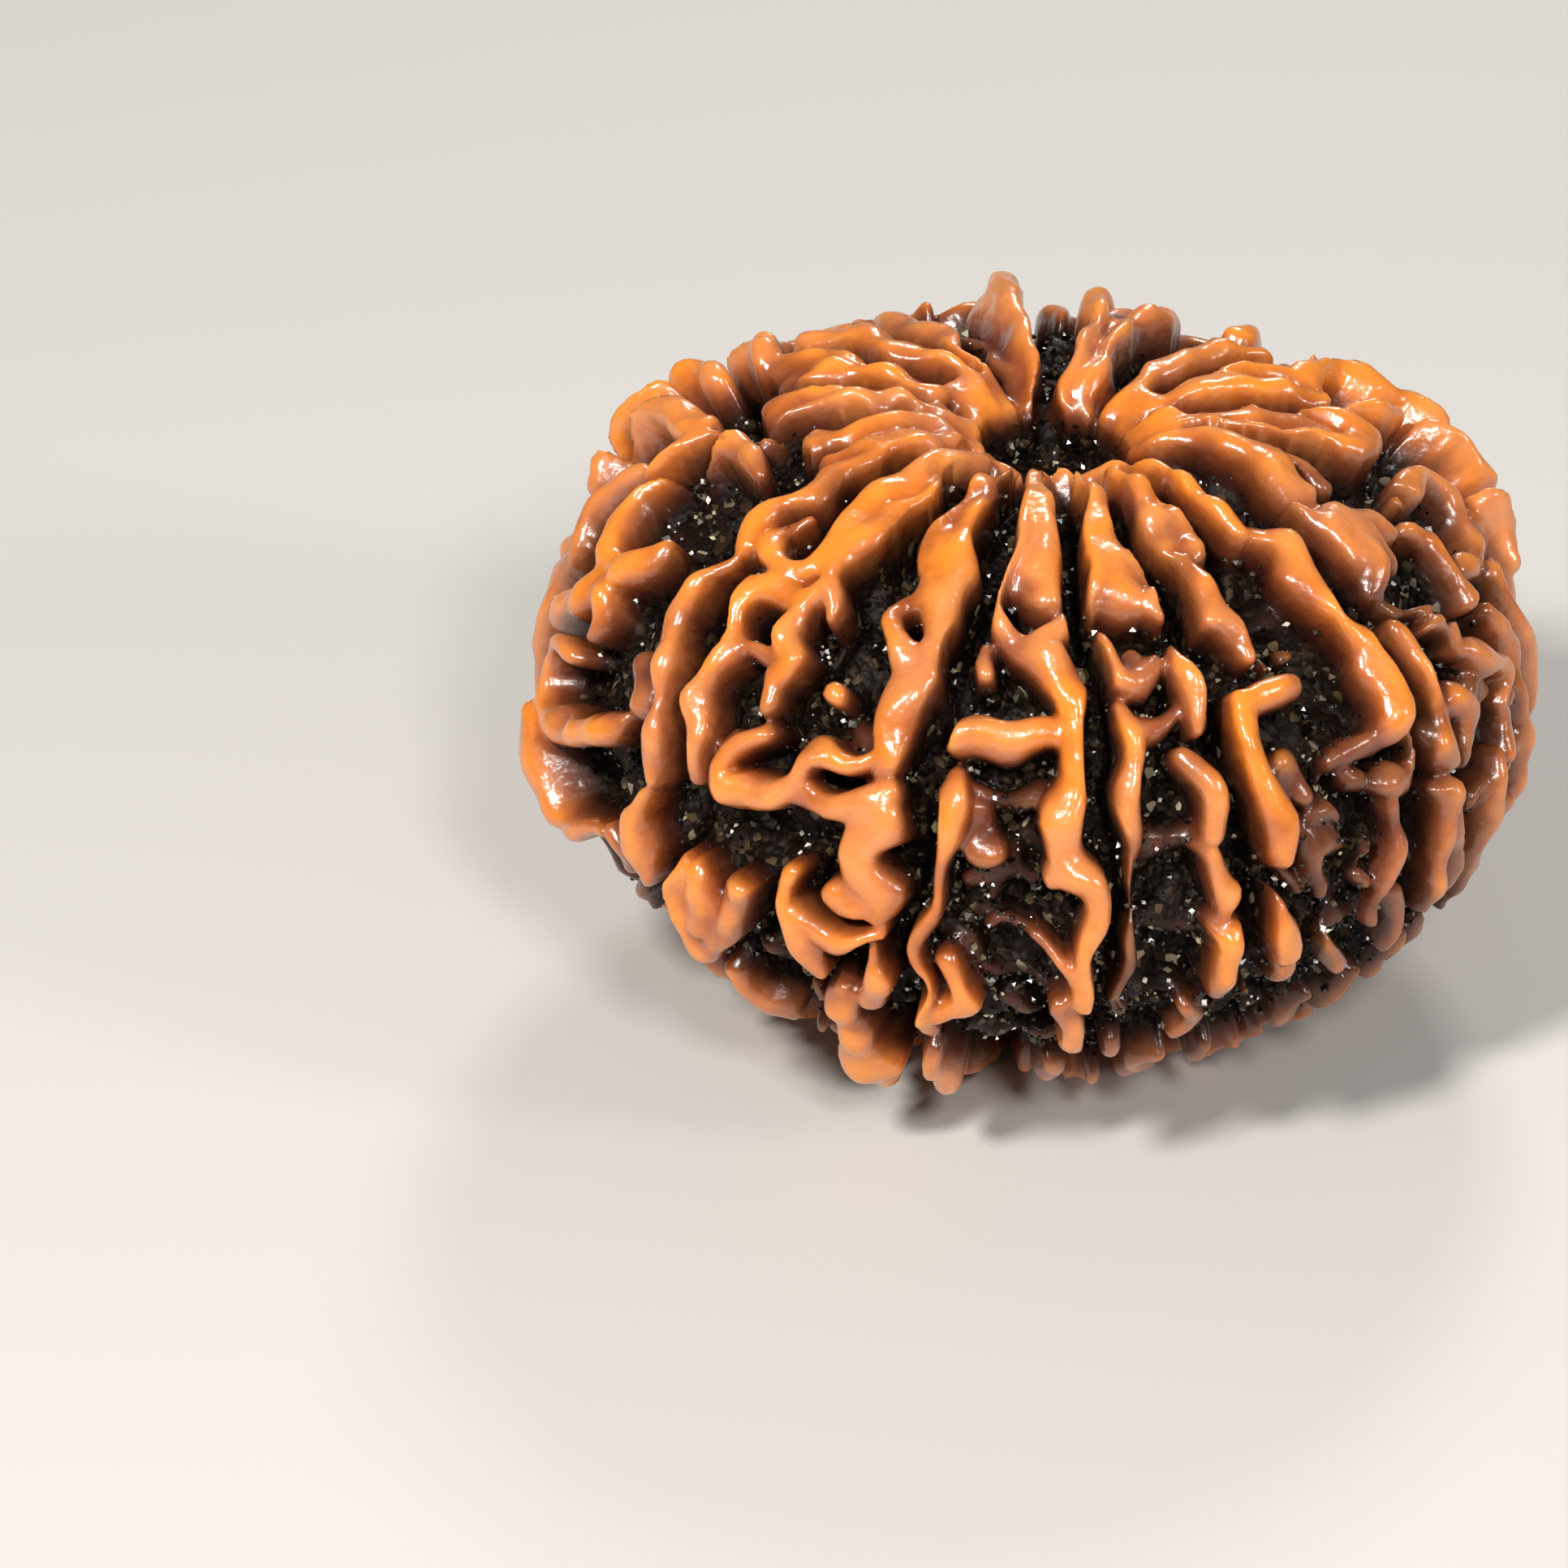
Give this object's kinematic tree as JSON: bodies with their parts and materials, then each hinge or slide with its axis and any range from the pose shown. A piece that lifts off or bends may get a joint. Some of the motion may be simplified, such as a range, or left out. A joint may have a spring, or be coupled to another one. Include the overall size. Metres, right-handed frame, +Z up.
{
  "type": "rudraksha seed",
  "caption": "Many-faced rudraksha seed: a squat round stone with deep grooves between its faces, a raised net of warty ridges and a small dimpled mouth on top.",
  "frame": {"origin": "on the surface it rests on, below the middle of its outline", "axes": "+Z up from the resting tips to the mouth; -Y towards the side that the picture shows"},
  "size_m": [0.0322, 0.0318, 0.0208],
  "materials": {
    "stone": "oiled, semi-gloss"
  },
  "bodies": {
    "root": {"rudraksha_stone": "stone"}
  },
  "joints": []
}
